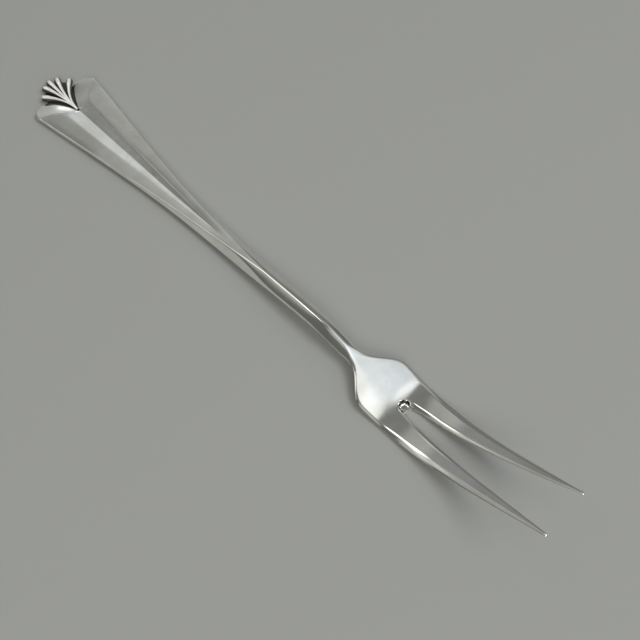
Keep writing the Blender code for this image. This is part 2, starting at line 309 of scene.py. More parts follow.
# %% Polished silver: haze
# Polishing scratches are hundredths of a millimetre wide, too fine to show here, so the haze is drawn in
# coarser patches. The handle is held and wiped most, so it is a little duller than the head.
HAZE_PATCH = 0.8 * MM
HAZE_RANGE = (0.3, 0.7)
HAZE_ROUGHNESS = 0.06
HELD_UP_TO = -30 * MM
UNTOUCHED_FROM = 20 * MM
HANDLE_ROUGHNESS = 0.12
HEAD_ROUGHNESS = 0.09

haze = add_node(silver_tree, "ShaderNodeTexNoise", {
    "Vector": silver_place, "Scale": 1 / HAZE_PATCH, "Detail": 4.0, "Roughness": 0.7})
along_fork = add_node(silver_tree, "ShaderNodeSeparateXYZ", {"Vector": silver_place}).outputs["X"]
held = add_node(silver_tree, "ShaderNodeMapRange", {
    "Value": along_fork, "From Min": HELD_UP_TO, "From Max": UNTOUCHED_FROM,
    "To Min": HANDLE_ROUGHNESS, "To Max": HEAD_ROUGHNESS})
hazy = add_node(silver_tree, "ShaderNodeMapRange", {
    "Value": haze.outputs["Fac"], "From Min": HAZE_RANGE[0], "From Max": HAZE_RANGE[1],
    "To Min": 0.0, "To Max": HAZE_ROUGHNESS})
silver_roughness = add_node(silver_tree, "ShaderNodeMath", {
    0: held.outputs["Result"], 1: hazy.outputs["Result"]}, operation="ADD")
silver_tree.links.new(silver_roughness.outputs[0], silver_shader.inputs["Roughness"])
print("roughness from", HEAD_ROUGHNESS, "to", HANDLE_ROUGHNESS + HAZE_ROUGHNESS)

# %% [markdown]
# The shell's colour is painted light: near black where it lies low, as shade in the hollows between the
# ribs, and white where it stands high and faces up, as a highlight on the crests. Two materials on one
# mesh would leave a hard border, so one colour follows the height and the normal.

# %% Shell silver with painted shade and highlight
# The hollows are painted near black as shade. The crests get a painted white highlight, which is part
# mirror and part white.
HOLLOW_SHADE_BLACK = "47453e"
CREST_HIGHLIGHT_WHITE = "faf9f5"
MIRROR_SHARE = 0.4
HIGHLIGHT_HEIGHTS = (0.85 * MM, 1.0 * MM)
HIGHLIGHT_FACING = (0.66, 0.97)
HOLLOW_ROUGHNESS = 0.5
CREST_ROUGHNESS = 0.26

dark_silver = bpy.data.materials.new("shell_silver_painted_shade")
dark_silver.use_nodes = True
dark_tree = dark_silver.node_tree
dark_shader = dark_tree.nodes["Principled BSDF"]
dark_shader.inputs["Metallic"].default_value = MIRROR_SHARE
dark_place = add_node(dark_tree, "ShaderNodeTexCoord").outputs["Object"]
above_table = add_node(dark_tree, "ShaderNodeSeparateXYZ", {"Vector": dark_place}).outputs["Z"]
high = add_node(dark_tree, "ShaderNodeMapRange", {
    "Value": above_table, "From Min": HIGHLIGHT_HEIGHTS[0], "From Max": HIGHLIGHT_HEIGHTS[1]})
facing = add_node(dark_tree, "ShaderNodeNewGeometry").outputs["Normal"]
upward = add_node(dark_tree, "ShaderNodeSeparateXYZ", {"Vector": facing}).outputs["Z"]
open_top = add_node(dark_tree, "ShaderNodeMapRange", {
    "Value": upward, "From Min": HIGHLIGHT_FACING[0], "From Max": HIGHLIGHT_FACING[1]})
# Painted highlight where the shell stands high and faces up; everything else keeps the painted shade.
painted_highlight = add_node(dark_tree, "ShaderNodeMath", {
    0: high.outputs["Result"], 1: open_top.outputs["Result"]}, operation="MULTIPLY").outputs[0]
dark_colour = add_node(dark_tree, "ShaderNodeMix", {
    "Factor": painted_highlight, "A": linear(HOLLOW_SHADE_BLACK), "B": linear(CREST_HIGHLIGHT_WHITE)}, data_type="RGBA")
dark_tree.links.new(dark_colour.outputs["Result"], dark_shader.inputs["Base Color"])
dark_roughness = add_node(dark_tree, "ShaderNodeMapRange", {
    "Value": painted_highlight, "To Min": HOLLOW_ROUGHNESS, "To Max": CREST_ROUGHNESS})
dark_tree.links.new(dark_roughness.outputs["Result"], dark_shader.inputs["Roughness"])
print("material:", dark_silver.name, "painted highlight above", HIGHLIGHT_HEIGHTS[0], "m")

# %% [markdown]
# ## The long curves of the fork
# The whole fork follows a few curves along its length: how wide it is, how high its front stands and how
# thick the metal is. Lengthwise places are stations, in millimetres from the corners of the flared end.
# They could be drawn by hand, as curves with handles. A natural cubic spline through measured points
# needs no handles and has no kinks, so reflections run smoothly.


# %% Splines and blends
def spline(*points):
    """A natural cubic spline through (station, value) points, for arrays of stations."""
    knots, values = np.array(points, float).T
    steps = np.diff(knots)
    matrix = np.eye(len(knots))
    right = np.zeros(len(knots))
    slopes = np.diff(values) / steps
    for i in range(1, len(knots) - 1):
        matrix[i, i - 1:i + 2] = steps[i - 1], 2 * (steps[i - 1] + steps[i]), steps[i]
        right[i] = 6 * (slopes[i] - slopes[i - 1])
    bends = np.linalg.solve(matrix, right)

    def curve(station):
        station = np.asarray(station, float)
        i = np.clip(np.searchsorted(knots, station) - 1, 0, len(knots) - 2)
        before = (knots[i + 1] - station) / steps[i]
        after = 1 - before
        bend = (before ** 3 - before) * bends[i] + (after ** 3 - after) * bends[i + 1]
        return before * values[i] + after * values[i + 1] + bend * steps[i] ** 2 / 6

    return curve


def mix(start, end, share):
    """The value that lies this share of the way from start to end."""
    return start + (end - start) * share


def ease(value):
    """Smooth step from 0 to 1 with soft ends."""
    t = np.clip(value, 0.0, 1.0)
    return t ** 3 * (t * (6 * t - 15) + 10)


def steepness(line, station, step):
    """The slope of a line at a station, measured over a step to either side."""
    return (line(station + step) - line(station - step)) / (2 * step)


print("a quarter of the way eases to", round(float(ease(0.25)), 3))

# %% Stations and widths, in millimetres
LOBE_REACH = 1.9
START_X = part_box("handle")[0][0] / MM + LOBE_REACH
GRIP = 21.0
WAIST = 40.0
STEM = 67.0
CREST = 81.0
NECK = 92.0
SLOT_END = 106.1
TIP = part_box("fork_head")[1][0] / MM - START_X
END_HALF_WIDTH = 8.4
NECK_HALF_WIDTH = 1.6
HEAD_HALF_WIDTH = 6.65
TINE_HALF_SPREAD = 5.4
SHOULDER_START = 0.5
SHOULDER_LENGTH = 10.0

handle_half_width = spline(
    (0, END_HALF_WIDTH), (GRIP, 5.35), (WAIST, 3.15), (STEM, 2.1), (NECK, NECK_HALF_WIDTH))


def half_width(station):
    """Half the plan width: flared handle, stem, then the shoulders and sides of the head."""
    side_start = NECK + SHOULDER_START + SHOULDER_LENGTH
    side = mix(HEAD_HALF_WIDTH, TINE_HALF_SPREAD, (station - side_start) / (TIP - side_start))
    head = mix(NECK_HALF_WIDTH, side, ease((station - NECK - SHOULDER_START) / SHOULDER_LENGTH))
    return np.where(station <= NECK, handle_half_width(np.minimum(station, NECK)), head)


print("stations run from", -LOBE_REACH, "to", round(TIP, 2), "mm, at x", round(START_X, 2))

# %% Heights of front and back, in millimetres
REST_LENGTH = 8.0
REST_EASE = 12.0
HEIGHT_STEP = 0.05

front_line = spline(
    (-LOBE_REACH, 1.85), (GRIP, 2.0), (WAIST, 2.5), (STEM, 4.62), (74.0, 5.3), (CREST, 5.75),
    (86.0, 5.6), (NECK, 4.28), (96.0, 3.4), (100.0, 2.6), (103.0, 1.98), (SLOT_END, 1.5),
    (109.0, 1.47), (119.56, 3.7), (131.9, 9.5), (TIP, 16.3))
thickness = spline(
    (-LOBE_REACH, 1.45), (WAIST, 1.7), (CREST, 2.25), (NECK, 2.0), (SLOT_END, 1.5), (TIP, 0.7))


def back_line(station):
    """Height of the back: flat at the handle's end, then under the front by the thickness."""
    slope = steepness(front_line, station, HEIGHT_STEP)
    back = front_line(station) - thickness(station) * np.hypot(1.0, slope)
    return np.maximum(back, 0.0) * ease((station - REST_LENGTH) / REST_EASE)


print("the front stands", round(float(front_line(CREST)), 2), "mm high at the crest of the stem")

# %% [markdown]
# ## The cross-section
# Seen from its end, each half of the front is made of up to three facets: the slope of the V groove, the
# flat panel, and the flank that falls to the edge. On the stem the panel closes to a ridge, and on the
# root it opens again. The facets could be modelled as faces with a Bevel modifier, but they fade into
# one another along the fork. A height for every point of the plan gives all of them at once, with
# arrises that are only as sharp as hand polishing leaves them.

# %% Panel and arris
FLANK_END = 96.0
ROOT_START = 86.0
ROOT_OPEN = 98.0
EDGE_ROLL_WIDTH = 0.8
EDGE_ROLL_START = 93.5
EDGE_ROLL_EASE = 5.0

flank_width = spline(
    (-LOBE_REACH, 0.06), (10.0, 0.08), (GRIP, 0.16), (30.0, 0.3), (38.0, 0.5), (46.0, 0.76),
    (52.0, 1.02), (60.0, 1.5), (68.0, 1.9), (74.0, 1.84), (CREST, 1.72), (88.0, 1.5), (NECK, 0.9),
    (FLANK_END, 0.6), (100.0, 0.6))
arris_round = spline(
    (-LOBE_REACH, 0.04), (WAIST, 0.08), (60.0, 0.15), (68.0, 0.21), (76.0, 0.25), (CREST, 0.28),
    (88.0, 0.3), (NECK, 0.28), (98.0, 0.3))
root_flat = spline(
    (ROOT_START, 0.0), (88.0, 0.0), (90.0, 0.02), (91.0, 0.2), (NECK, 0.55), (93.0, 1.0), (94.0, 1.35),
    (95.0, 1.8), (96.0, 2.45), (ROOT_OPEN, 4.0))
roll_width = spline(
    (NECK, EDGE_ROLL_WIDTH), (97.0, EDGE_ROLL_WIDTH), (106.0, 0.85), (114.0, 1.15), (126.0, 1.0),
    (TIP, 0.4))


def flat_half_width(station):
    """Half the flat front: nearly all of it at the grip, nothing on the ridged stem, then the root."""
    handle_part = np.minimum(station, FLANK_END)
    grip = half_width(station) - flank_width(handle_part) - arris_round(handle_part)
    root = root_flat(np.clip(station, ROOT_START, ROOT_OPEN))
    return np.maximum(np.where(station < ROOT_START, grip, root), 0.0)


def arris_half_width(station):
    """Where the front turns over into the flank, or into the rolled edge of the head."""
    turned = flat_half_width(station) + arris_round(np.minimum(station, FLANK_END))
    rolled = half_width(station) - roll_width(station)
    return mix(turned, rolled, ease((station - EDGE_ROLL_START) / EDGE_ROLL_EASE))


print("arris at the crest:", round(float(arris_half_width(np.array(CREST))), 2), "mm from the middle")

# %% [markdown]
# Below the arris the side of the handle falls in two facets, a main one and a steeper strip at the very
# edge. The head has no flank: its edge is rolled over, and on the tines the roll becomes nearly a flat
# bevel. One drop serves both and blends from the one to the other at the neck, so no seam shows there.

# %% Flank and rolled edge
FLANK_SLOPE = math.tan(math.radians(35))
STRIP_SLOPE = math.tan(math.radians(50))
STRIP_SHARE = 0.12
STRIP_START = 53.0
STRIP_EASE = 22.0
EDGE_ROLL_SLOPE = 0.62
BEVEL_SHARE = 0.42
BEVEL_START = 107.0
BEVEL_EASE = 6.0
CROWN_START = 88.0
CROWN_END = 98.0
LEAST_FLAT = 0.02
HEAD_EASE = 4.5

crown_slope = spline(
    (CROWN_START, 0.0), (89.0, 0.0), (90.0, 0.06), (91.0, 0.22), (NECK, 0.3), (93.0, 0.28), (94.0, 0.18),
    (95.0, 0.08), (96.0, 0.02), (97.0, 0.0), (CROWN_END, 0.0))


def soft_above(value, radius):
    """The positive part of a value, with its corner rounded off over about the radius."""
    return (value + np.sqrt(value ** 2 + radius ** 2)) / 2


def edge_roll(station, past, width):
    """How far a rolled edge has fallen: a round roll on the root, nearly a flat bevel on the tines."""
    rounded = past ** 2 / 2 / width
    bevel = mix(rounded, past, BEVEL_SHARE)
    return EDGE_ROLL_SLOPE * mix(rounded, bevel, ease((station - BEVEL_START) / BEVEL_EASE))


def flank_drop(station, side):
    """How far the flank has fallen below the panel: a main facet, then a steeper strip at the edge."""
    handle_part = np.minimum(station, FLANK_END)
    strip_share = mix(1.0, STRIP_SHARE, ease((station - STRIP_START) / STRIP_EASE))
    outer = half_width(station)
    inward = np.maximum(side - flat_half_width(station), 0.0)
    past = np.hypot(inward, arris_round(handle_part)) - arris_round(handle_part)
    past_strip = soft_above(
        side - outer + flank_width(handle_part) * strip_share, arris_round(handle_part))
    crown = crown_slope(np.clip(station, CROWN_START, CROWN_END))
    flat = np.maximum(flat_half_width(station), LEAST_FLAT)
    dome = crown * (flat / 3 * np.minimum(side / flat, 1.0) ** 3 + np.maximum(side - flat, 0.0))
    flank = dome + past * (FLANK_SLOPE - crown) + past_strip * (STRIP_SLOPE - FLANK_SLOPE)
    rolled = edge_roll(station, np.maximum(side - outer + roll_width(station), 0.0), roll_width(station))
    return mix(flank, rolled + dome, ease((station - NECK) / HEAD_EASE))


stem_drop = flank_drop(np.array(CREST), half_width(np.array(CREST)))
print("the flank falls", round(float(stem_drop), 2), "mm to the edge at the crest")

# %% [markdown]
# Two slopes meet in a V along the middle of the grip. Each starts at a crease, where the panel ends. A
# drop that grows towards the middle line would twist the slope round the panel's curved end, so the drop
# grows with the distance from the crease instead, and the slope keeps one angle. The crease is crisp at
# the shell and softens towards the stem, where the groove dies out.

# %% Groove
GROOVE_LENGTH = 56.0
GROOVE_HALF_WIDTH = 3.4
GROOVE_SLOPE = 0.15
GROOVE_RUN_OUT = 2.0
GROOVE_FADE = 10.0
FLARE_REACH = 4.6
FLARE_START = 1.3
FLARE_LENGTH = 4.2
FLARE_CURVE = 2.2
CREASE_START = 0.6
CREASE_SAMPLES = 400
CREASE_ROUND = 0.25
CREASE_FADE = 1.5
CREASE_FADE_START = 14.0
CREASE_FADE_LENGTH = 24.0
LOBE_END_SLOPE = 0.17
LOBE_END_ROLL = 0.1
LOBE_END_LENGTH = 3.5
LOBE_SLOPE_LEAD = 0.5
LOBE_SLOPE_EASE = 4.0
POINTS_AT_ONCE = 4000


def crease(station):
    """Where the groove's slope meets the panel. It flares out round the end of the panel."""
    line = GROOVE_HALF_WIDTH * np.maximum(1 - station / GROOVE_LENGTH, 0.0)
    flare = FLARE_REACH * np.maximum(1 - (station - FLARE_START) / FLARE_LENGTH, 0.0) ** FLARE_CURVE
    return line + flare


crease_stations = np.linspace(CREASE_START, GROOVE_LENGTH, CREASE_SAMPLES)
crease_points = np.stack([crease_stations, crease(crease_stations)], axis=1)


def groove_drop(station, side):
    """How far the groove, and the rolled end of the lobe, fall below the panel."""
    points = np.stack([station.ravel(), side.ravel()], axis=1)
    nearest = np.full(len(points), np.inf)
    for start in range(0, len(points), POINTS_AT_ONCE):
        some = slice(start, start + POINTS_AT_ONCE)
        apart = points[some, None, :] - crease_points[None, :, :]
        nearest[some] = np.sqrt((apart ** 2).sum(axis=2).min(axis=1))
    inside = np.where(side < crease(np.maximum(station, CREASE_START)), 1.0, -1.0).ravel()
    inside = np.where(points[:, 0] < CREASE_START, 1.0, inside)
    softening = ease((station - CREASE_FADE_START) / CREASE_FADE_LENGTH)
    crease_round = mix(CREASE_ROUND, CREASE_FADE, softening)
    fall = soft_above((nearest * inside).reshape(side.shape), crease_round)
    fading = ease((GROOVE_LENGTH + GROOVE_RUN_OUT - station) / GROOVE_FADE)
    roll = LOBE_END_ROLL * np.maximum(1 - (station + LOBE_REACH) / LOBE_END_LENGTH, 0.0) ** 2
    slope = mix(LOBE_END_SLOPE, GROOVE_SLOPE, ease((station + LOBE_SLOPE_LEAD) / LOBE_SLOPE_EASE))
    return fall * slope * fading + roll


grip_drop = groove_drop(np.array([GRIP]), np.array([0.0]))[0]
print("the groove is", round(float(grip_drop), 2), "mm deep at the grip")

# %% [markdown]
# ## Turning sections into metal
# Each half of a piece is a row of rings, from the middle of the front over the edge to the middle of the
# back. A few drawn sections could be bridged and subdivided, but that spreads the points evenly. Here
# the columns sit close together at the arrises, where the surface turns. The half is then mirrored and
# welded, and the lobes and tines get an inner wall where the metal is divided.

# %% Rings of one half
SPAN_COLUMNS = 21
BELLY_COLUMNS = 7
BACK_COLUMNS = 8
ARRIS_LIMITS = (0.3, 0.93)
FOLD_LIMITS = (0.06, 0.9)
LEAST_EDGE = 0.12
EDGE_SHARE = 0.55
BELLY_SHARE = 0.45
BELLY_ASPECT = 1.3


def spread(start, end, count):
    """Columns from start to end, closer together near both ends."""
    share = (1 - np.cos(np.linspace(0, np.pi, count))) / 2
    return start[:, None] + (end - start)[:, None] * share


def half_rings(station, inner, outer, fold, front):
    """Rings of (station, side, height): front from inner to outer, belly, back, and inner wall."""
    low, high = ARRIS_LIMITS
    arris = np.clip(arris_half_width(station), mix(inner, outer, low), mix(inner, outer, high))
    low, high = FOLD_LIMITS
    fold = np.clip(fold, mix(inner, arris, low), mix(inner, arris, high))
    side = np.hstack([spread(inner, fold, SPAN_COLUMNS)[:, :-1],
                      spread(fold, arris, SPAN_COLUMNS)[:, :-1],
                      spread(arris, outer, SPAN_COLUMNS)])
    along = np.repeat(station[:, None], side.shape[1], axis=1)
    top = front(along, side)
    back = back_line(station)
    edge = np.maximum(top[:, -1], back + LEAST_EDGE)
    top[:, -1] = edge
    lower = mix(back, edge, EDGE_SHARE)
    belly = np.minimum(BELLY_SHARE * (outer - inner), BELLY_ASPECT * (lower - back))
    turn = np.linspace(0, np.pi / 2, BELLY_COLUMNS)
    belly_side = outer[:, None] - belly[:, None] * (1 - np.cos(turn))
    belly_height = lower[:, None] - (lower - back)[:, None] * np.sin(turn)
    inner_belly = np.where(inner > 0, belly, 0.0)
    back_side = spread(outer - belly, inner + inner_belly, BACK_COLUMNS)[:, 1:]
    back_height = np.repeat(back[:, None], BACK_COLUMNS - 1, axis=1)
    wall_side = inner[:, None] + inner_belly[:, None] * (1 - np.sin(turn[1:]))
    wall_low = np.minimum(lower, mix(back, top[:, 0], EDGE_SHARE))
    wall_height = back[:, None] + (wall_low - back)[:, None] * (1 - np.cos(turn[1:]))
    sides = np.hstack([side, belly_side, back_side, wall_side])
    heights = np.hstack([top, belly_height, back_height, wall_height])
    return np.stack([np.repeat(station[:, None], sides.shape[1], axis=1), sides, heights], axis=2)


print("each half of the front has", 3 * SPAN_COLUMNS - 2, "columns")

# %% Closing the mesh
WELD_DISTANCE = 0.0005 * MM
SLIVER_LENGTH = 0.0004 * MM
SHARP_ANGLE = math.radians(50)


def smooth_piece(name, data):
    """An object at the origin for a mesh, shaded smooth but for its true corners."""
    data.shade_smooth()
    data.set_sharp_from_angle(angle=SHARP_ANGLE)
    piece = bpy.data.objects.new(name, data)
    bpy.context.collection.objects.link(piece)
    return piece


def whole_body(name, rings, material):
    """A closed piece from half rings: faces between rings, inner walls, ends, then the mirror half."""
    mesh = bmesh.new()
    wall_columns = BELLY_COLUMNS - 1
    rows = []
    for ring in rings:
        rows.append([mesh.verts.new(((s + START_X) * MM, y * MM, z * MM)) for s, y, z in ring])
    for before, after, ring, next_ring in zip(rows, rows[1:], rings, rings[1:]):
        divided = ring[0, 1] > 0 or next_ring[0, 1] > 0
        last = len(before) if divided else len(before) - wall_columns
        for i in range(last - 1):
            mesh.faces.new((before[i], before[i + 1], after[i + 1], after[i]))
        if divided:
            mesh.faces.new((before[-1], before[0], after[0], after[-1]))
    for row in (rows[0], rows[-1]):
        mesh.faces.new(row)
    bmesh.ops.remove_doubles(mesh, verts=mesh.verts, dist=WELD_DISTANCE)
    half = mesh.verts[:] + mesh.edges[:] + mesh.faces[:]
    bmesh.ops.mirror(mesh, geom=half, axis="Y", merge_dist=WELD_DISTANCE)
    bmesh.ops.dissolve_degenerate(mesh, edges=mesh.edges[:], dist=SLIVER_LENGTH)
    bmesh.ops.recalc_face_normals(mesh, faces=mesh.faces)
    data = bpy.data.meshes.new(name)
    mesh.to_mesh(data)
    open_edges = sum(1 for edge in mesh.edges if not edge.is_manifold)
    mesh.free()
    data.materials.append(material)
    print(name, "has", len(data.polygons), "faces and", open_edges, "open edges")
    return smooth_piece(name, data)


print("points closer than", WELD_DISTANCE / MM, "mm are welded")

# %% [markdown]
# ## The handle
# A forged bar: wide and thin at the lobes, narrow and high at the stem. The lobes are divided by the
# notch that the shell is set in. It could be cut out with a second mesh, but a cut leaves thin faces
# that a mirror shows. So the rings start at the notch there and not at the middle, and its edge gets a
# clean rounded rim.

# %% Outline of the handle
NOTCH_DEPTH = 5.4
NOTCH_MOUTH = 3.35
NOTCH_CURVE = 1.2
LOBE_TIP = 5.3
LOBE_CORNER = 2.8


def notch_half_width(station):
    """Half the notch: widest at the lobes' tips, closed at its depth."""
    share = (NOTCH_DEPTH - station) / (NOTCH_DEPTH + LOBE_REACH)
    return NOTCH_MOUTH * np.maximum(share, 0.0) ** NOTCH_CURVE


def handle_outer(station):
    """The outer edge: an elliptical corner from the lobe's tip to the flared side."""
    left = 1 - np.clip((station + LOBE_REACH) / LOBE_CORNER, 0.0, 1.0)
    return mix(LOBE_TIP, half_width(np.maximum(station, 0.0)), np.sqrt(1 - left ** 2))


print("each lobe is", round(float(handle_outer(0.0) - notch_half_width(0.0)), 2), "mm wide")

# %% Front of the handle
RIM_ROUND = 0.4
RIM_TURN = 0.98
NOTCH_ROLL = 0.09
NOTCH_ROLL_WIDTH = 1.8
PANEL_ROLL = 0.05
PANEL_ROLL_WIDTH = 1.6
PANEL_ROLL_START = 2.0
PANEL_ROLL_RISE = 3.0
PANEL_ROLL_END = 20.0
PANEL_ROLL_FALL = 8.0
LOBE_LENGTH = 3.0
OUTLINE_STEP = 0.02
FAR_AWAY = 9.0


def rim_drop(apart):
    """A rounded rim: how far the front falls when it is this far from the outline."""
    inward = np.clip(1 - apart / RIM_ROUND, 0.0, 1.0)
    return RIM_ROUND * (1 - np.sqrt(1 - RIM_TURN * inward ** 2))


def handle_front(station, side):
    """Height of the handle's front: groove, flanks, and soft rims round the lobes and the notch."""
    slope = steepness(handle_outer, station, OUTLINE_STEP)
    notch_slope = steepness(notch_half_width, station, OUTLINE_STEP)
    from_outer = (handle_outer(station) - side) / np.hypot(1.0, slope)
    from_notch = (side - notch_half_width(station)) / np.hypot(1.0, notch_slope)
    from_notch = np.where(station < NOTCH_DEPTH, from_notch, FAR_AWAY)
    lobe = ease((LOBE_LENGTH - station) / LOBE_LENGTH)
    rim = rim_drop(np.minimum(from_outer, station + LOBE_REACH)) * lobe
    rim = np.maximum(rim, rim_drop(from_notch))
    scoop = NOTCH_ROLL * np.maximum(1 - from_notch / NOTCH_ROLL_WIDTH, 0.0) ** 2
    flank = flank_drop(station, side) * (1 - lobe)
    panel = PANEL_ROLL * np.maximum(1 - from_outer / PANEL_ROLL_WIDTH, 0.0) ** 2
    panel = panel * ease((station - PANEL_ROLL_START) / PANEL_ROLL_RISE)
    panel = panel * ease((PANEL_ROLL_END - station) / PANEL_ROLL_FALL)
    return front_line(station) - groove_drop(station, side) - flank - rim - scoop - panel


print("rims are rounded over", RIM_ROUND, "mm")

# %% Forge the handle
LOBE_RINGS = 70
BAR_RINGS = 260

lobe_share = 1 - np.cos(np.linspace(0, np.pi / 2, LOBE_RINGS))
lobe_stations = mix(-LOBE_REACH, NOTCH_DEPTH, lobe_share)[:-1]
bar_stations = np.linspace(NOTCH_DEPTH, NECK, BAR_RINGS)
handle_stations = np.concatenate([lobe_stations, bar_stations])
handle = whole_body("forged_handle", half_rings(
    handle_stations, notch_half_width(handle_stations), handle_outer(handle_stations),
    crease(np.maximum(handle_stations, CREASE_START)), handle_front), silver)

# %% [markdown]
# ## The head
# A spade-shaped root, slightly domed, that divides into two tines. The slot between them ends in a
# slanting scoop, as a saw cut that is filed open from the front leaves it. It is made from rings too,
# for the same reason as the notch: they follow the slot's edge and keep the mirror clean.

# %% Slot between the tines
TINE_TIP_WIDTH = 0.45
SLOT_STRAIGHT_SHARE = 0.64
SCOOP_LENGTH = 2.2
HAIR = 0.001


def slot_top(station):
    """Half the slot's width at the front, with a round end; zero on the root."""
    along = np.maximum(station - SLOT_END, 0.0)
    round_end = np.sqrt(np.maximum(SLOT_HALF_WIDTH ** 2 - (SLOT_HALF_WIDTH - along) ** 2, 0.0))
    share = (along - SLOT_HALF_WIDTH) / (TIP - SLOT_END - SLOT_HALF_WIDTH)
    at_tip = TINE_HALF_SPREAD - TINE_TIP_WIDTH
    straight = mix(SLOT_HALF_WIDTH, at_tip, mix(share ** 2, share, SLOT_STRAIGHT_SHARE))
    return np.where(along < SLOT_HALF_WIDTH, round_end, straight)


def slot_bottom(station):
    """Half the slot's width at the back: it starts where the scoop has cut through the metal."""
    along = np.maximum(station - SLOT_END, HAIR)
    return slot_top(station) * np.sqrt(np.maximum(1 - (SCOOP_LENGTH / along) ** 2, 0.0))


print("the slot opens to", round(2 * float(slot_top(TIP)), 2), "mm at the tips")

# %% Front of the head
SCOOP_FROM_EDGE = (0.0, 0.4, 0.55, 0.75, 1.3)
SCOOP_DEPTHS = (0.0, 0.78, 0.93, 1.0, 1.02)
SCOOP_RAMP = 0.35
SLOT_ROLL_SHARE = 0.6
LIP_START = 0.6
LIP_EASE = 2.0
TIP_ROUND = 0.7
TIP_DROP = 0.45
ROOT_DOME = 0.22
DOME_START = 1.0
DOME_RISE = 7.0
DOME_FALL = 10.0


def head_front(station, side):
    """Height of the head's front: the domed root, its rolled edges, the scoop and the blunt tips."""
    opening = np.maximum(slot_top(station), HAIR)
    along = np.maximum(station - SLOT_END, 0.0)
    from_round_end = SLOT_HALF_WIDTH - np.hypot(along - SLOT_HALF_WIDTH, side)
    from_edge = np.where(along < SLOT_HALF_WIDTH, from_round_end, opening - side)
    wall = np.interp(from_edge, SCOOP_FROM_EDGE, SCOOP_DEPTHS)
    ramp = SCOOP_RAMP * ease((along - SCOOP_FROM_EDGE[2]) / (SCOOP_LENGTH - SCOOP_FROM_EDGE[2]))
    scoop = np.maximum(wall - ramp * wall / SCOOP_DEPTHS[-1], 0.0)
    inner_roll = roll_width(station) * SLOT_ROLL_SHARE
    near_slot = np.clip(inner_roll - side + opening, 0.0, inner_roll)
    lip = edge_roll(station, near_slot, inner_roll) * ease((station - SLOT_END - LIP_START) / LIP_EASE)
    at_tip = np.clip(1 - (TIP - station) / TIP_ROUND, 0.0, 1.0)
    blunt = TIP_DROP * (1 - np.sqrt(1 - at_tip ** 2))
    dome_window = ease((station - NECK - DOME_START) / DOME_RISE)
    dome_window = dome_window * (1 - ease((station - SLOT_END + DOME_START) / DOME_FALL))
    dome = ROOT_DOME * (side / half_width(station)) ** 2 * dome_window
    return front_line(station) - flank_drop(station, side) - dome - scoop - lip - blunt


print("the scoop is", SCOOP_DEPTHS[-1], "mm deep and", SCOOP_LENGTH, "mm long")

# %% Make the head
ROOT_RINGS = 60
SLOT_RINGS = 80
TINE_RINGS = 125
TIP_RINGS = 14
SLOT_LEAD = 1.0
SLOT_RUN = 5.0
TIP_RUN = 1.0
LEAST_FOLD = 0.15

head_stations = np.concatenate([
    np.linspace(NECK, SLOT_END - SLOT_LEAD, ROOT_RINGS)[:-1],
    np.linspace(SLOT_END - SLOT_LEAD, SLOT_END + SLOT_RUN, SLOT_RINGS)[:-1],
    np.linspace(SLOT_END + SLOT_RUN, TIP - TIP_RUN, TINE_RINGS)[:-1],
    np.linspace(TIP - TIP_RUN, TIP, TIP_RINGS)])
head = whole_body("tined_head", half_rings(
    head_stations, slot_bottom(head_stations), half_width(head_stations),
    np.maximum(slot_top(head_stations), LEAST_FOLD), head_front), silver)

# %% [markdown]
# ## The shell
# A small casting: a thin plate that fills the notch, with five ribs on it that leave the notch's point
# side by side and spread like a fan. The plate is only an outline with two faces and a wall. Its front
# edge is a scalloped arc on the real shell, but the ribs make the scallops, so a plain arc is enough.

# %% Plate of the shell
FAN_CENTRE = 1.2
PLATE_TOP = 0.65
PLATE_BOTTOM = 0.1
PLATE_REACH = 6.5
PLATE_SIDE_REACH = 5.6
PLATE_INSET = 0.2
PLATE_SHORT = 0.6
PLATE_GAP = 0.04
LEAST_PLATE = 0.02
SHELL_ANGLE = math.radians(78)
RIM_POINTS = 24
NOTCH_POINTS = 16

# The rim's points lie half a step off the middle line, where the middle rib has a row of its own.
fan = (np.arange(RIM_POINTS) + 0.5) / RIM_POINTS * SHELL_ANGLE / 2
reach = mix(PLATE_REACH, PLATE_SIDE_REACH, (fan / fan[-1]) ** 2)
plate_rim = np.stack([FAN_CENTRE - reach * np.cos(fan), reach * np.sin(fan)], axis=1)
in_notch = np.linspace(-LOBE_REACH + PLATE_INSET, NOTCH_DEPTH - PLATE_SHORT, NOTCH_POINTS)
plate_side = np.maximum(notch_half_width(in_notch) - PLATE_GAP, LEAST_PLATE)
half_outline = np.vstack([plate_rim, np.stack([in_notch, plate_side], axis=1)])
outline = np.vstack([half_outline, half_outline[::-1] * (1, -1)])
plate = bmesh.new()
lower = [plate.verts.new(((s + START_X) * MM, y * MM, PLATE_BOTTOM * MM)) for s, y in outline]
upper = [plate.verts.new(((s + START_X) * MM, y * MM, PLATE_TOP * MM)) for s, y in outline]
plate.faces.new(lower)
plate.faces.new(upper)
for i in range(len(outline)):
    plate.faces.new((lower[i - 1], lower[i], upper[i], upper[i - 1]))
bmesh.ops.recalc_face_normals(plate, faces=plate.faces)
plate_mesh = bpy.data.meshes.new("shell_plate")
plate.to_mesh(plate_mesh)
plate.free()
shell_source = bpy.data.objects.new("shell_plate", plate_mesh)
bpy.context.collection.objects.link(shell_source)
print("shell plate outline has", len(outline), "points")

# %% [markdown]
# Each rib could be modelled by hand and copied, but a node tree states the rule once. One rib is a
# straight line. Geometry Nodes sets copies of it in a row, bends each outwards by its number, thickens
# it to a tube that swells to a round end, and fuses the tubes with the plate. Changing the count or the
# spread makes another shell.

# %% Rib tree: its inputs
RIB_INPUTS = {
    "Rib count": "Int", "Middle length": "Float", "Side length": "Float", "Half spread": "Float",
    "Bend": "Float", "Root spread": "Float", "Root stagger": "Float", "Rib radius": "Float",
    "Rise": "Float", "Rib root": "Vector", "Finish": "Material",
}

